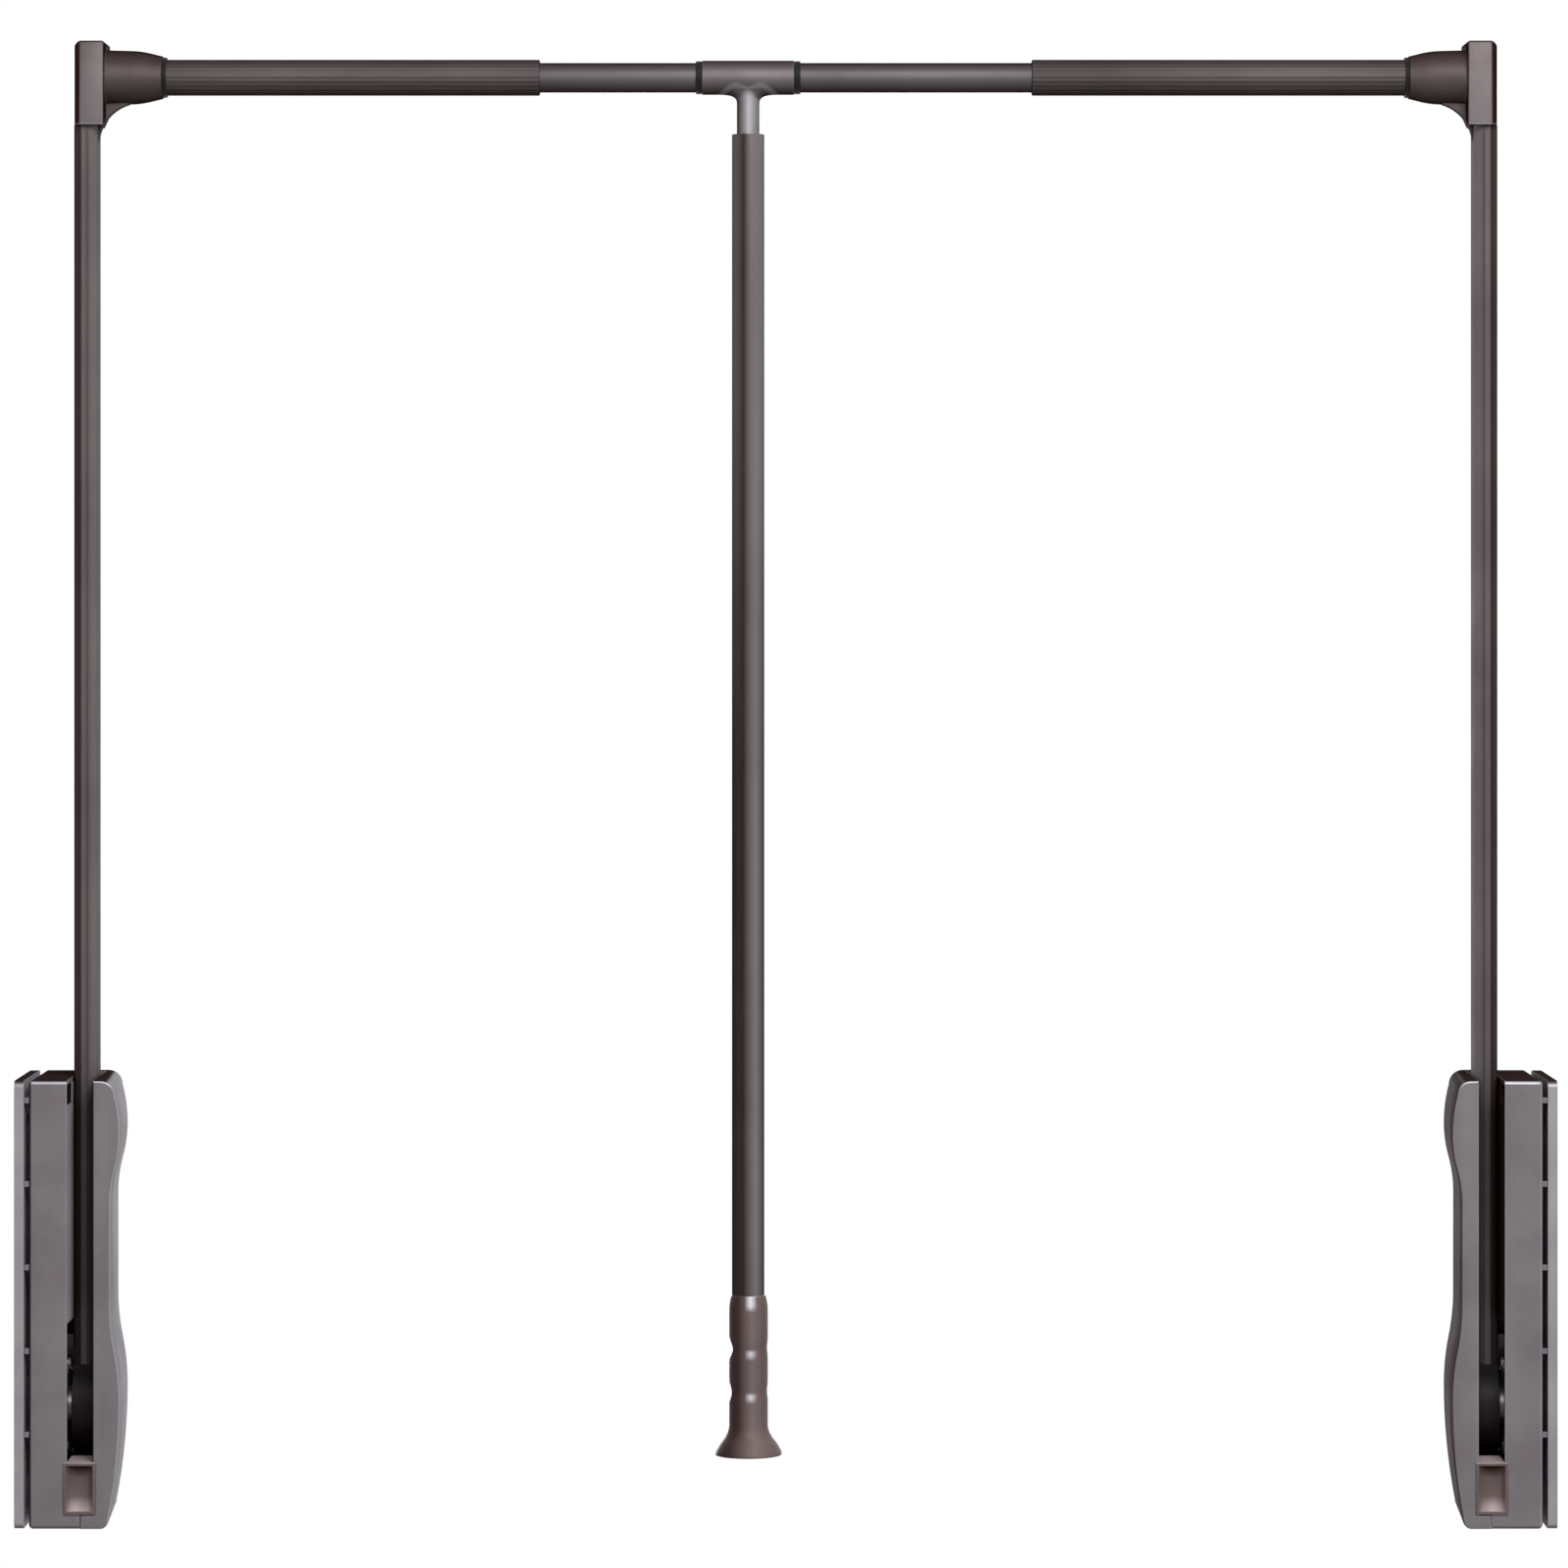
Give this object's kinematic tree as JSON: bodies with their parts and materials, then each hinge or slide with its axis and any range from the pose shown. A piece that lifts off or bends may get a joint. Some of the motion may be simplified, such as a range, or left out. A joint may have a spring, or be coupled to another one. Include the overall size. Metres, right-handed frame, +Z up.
{
  "type": "pull down closet rod",
  "caption": "Pull-down wardrobe rail: two wall housings with spring-lifted swing arms, a telescopic hanging bar between them and a pull rod with a grip.",
  "frame": {"origin": "centre of the left wall plate's four screw holes, on the face that lies on the left wall", "axes": "+X from the left wall to the right wall, +Y from the front of the wardrobe to its back, +Z up"},
  "size_m": [0.868, 0.0814, 0.839],
  "materials": {
    "plate_casting": "satin metallic bronze-grey paint on a casting",
    "case_shell": "satin metallic bronze-grey lacquer on moulded plastic",
    "dark_casting": "dark bronze paint on a casting",
    "bronze_tube": "satin metallic bronze-grey powder paint",
    "bronze_casting": "satin metallic bronze-grey paint on a casting",
    "gear_steel": "dark oiled steel",
    "bright_steel": "bright steel",
    "black_paint": "satin black",
    "bush_plastic": "black acetal",
    "black_trim": "matt black",
    "stop_rubber": "brown rubber",
    "grip_plastic": "glossy dark brown"
  },
  "bodies": {
    "left_housing": {"left_wall_plate": "plate_casting", "left_outer_case": "case_shell", "left_chassis": "dark_casting", "left_inner_case": "case_shell", "left_case_screws": "bright_steel", "left_stop_block": "stop_rubber", "left_rest_buffer": "stop_rubber", "left_swing_axle": "bright_steel", "left_thrust_washer": "bush_plastic", "left_gas_cylinder": "black_paint"},
    "left_arm": {"left_drive_gear": "gear_steel", "left_gear_dowels": "bright_steel", "left_pivot_bush": "bush_plastic", "left_arm_knuckle": "dark_casting", "left_arm_tube": "bronze_tube", "left_arm_screws": "bright_steel", "left_corner_bracket": "bronze_casting", "left_rod_collar": "black_trim", "left_outer_rod": "bronze_tube"},
    "left_rack": {"left_rack": "gear_steel", "left_gas_piston_rod": "bright_steel"},
    "right_housing": {"right_wall_plate": "plate_casting", "right_outer_case": "case_shell", "right_chassis": "dark_casting", "right_inner_case": "case_shell", "right_case_screws": "bright_steel", "right_stop_block": "stop_rubber", "right_rest_buffer": "stop_rubber", "right_swing_axle": "bright_steel", "right_thrust_washer": "bush_plastic", "right_gas_cylinder": "black_paint"},
    "right_arm": {"right_drive_gear": "gear_steel", "right_gear_dowels": "bright_steel", "right_pivot_bush": "bush_plastic", "right_arm_knuckle": "dark_casting", "right_arm_tube": "bronze_tube", "right_arm_screws": "bright_steel", "right_corner_bracket": "bronze_casting", "right_rod_collar": "black_trim", "right_outer_rod": "bronze_tube"},
    "right_rack": {"right_rack": "gear_steel", "right_gas_piston_rod": "bright_steel"},
    "centre_tube": {"centre_inner_tube": "bronze_tube", "tee_rings": "black_trim"},
    "pull_handle": {"tee": "bronze_casting", "tee_screw": "bright_steel", "pull_rod": "bronze_tube", "grip": "grip_plastic"}
  },
  "joints": [
    {"name": "arm_swing", "type": "hinge", "parent": "left_housing", "child": "left_arm", "pos_m": [0, 0, -0.0615], "axis": [1, 0, 0], "range_deg": [0, 105], "stiffness_Nm_per_rad": 8, "springref_deg": -20.05},
    {"name": "width_slide", "type": "slide", "parent": "left_housing", "child": "right_housing", "axis": [1, 0, 0], "range_m": [-0.037, 0.276]},
    {"name": "right_arm_swing", "type": "hinge", "parent": "right_housing", "child": "right_arm", "pos_m": [0.868, 0, -0.0615], "axis": [1, 0, 0], "range_deg": [0, 105], "stiffness_Nm_per_rad": 8, "springref_deg": -20.05},
    {"name": "left_rack_slide", "type": "slide", "parent": "left_housing", "child": "left_rack", "axis": [0, 0, 1], "range_m": [0, 0.044]},
    {"name": "right_rack_slide", "type": "slide", "parent": "right_housing", "child": "right_rack", "axis": [0, 0, 1], "range_m": [0, 0.044]},
    {"name": "centre_slide", "type": "slide", "parent": "left_arm", "child": "centre_tube", "axis": [1, 0, 0], "range_m": [-0.0185, 0.138]},
    {"name": "handle_swivel", "type": "hinge", "parent": "centre_tube", "child": "pull_handle", "pos_m": [0.4126, 0, 0.6933], "axis": [1, 0, 0], "continuous": true}
  ],
  "couplings": [
    {"joint": "right_arm_swing", "follows": "arm_swing", "ratio": 1},
    {"joint": "left_rack_slide", "follows": "arm_swing", "m_per_rad": 0.024},
    {"joint": "right_rack_slide", "follows": "arm_swing", "m_per_rad": 0.024},
    {"joint": "centre_slide", "follows": "width_slide", "ratio": 0.5}
  ]
}
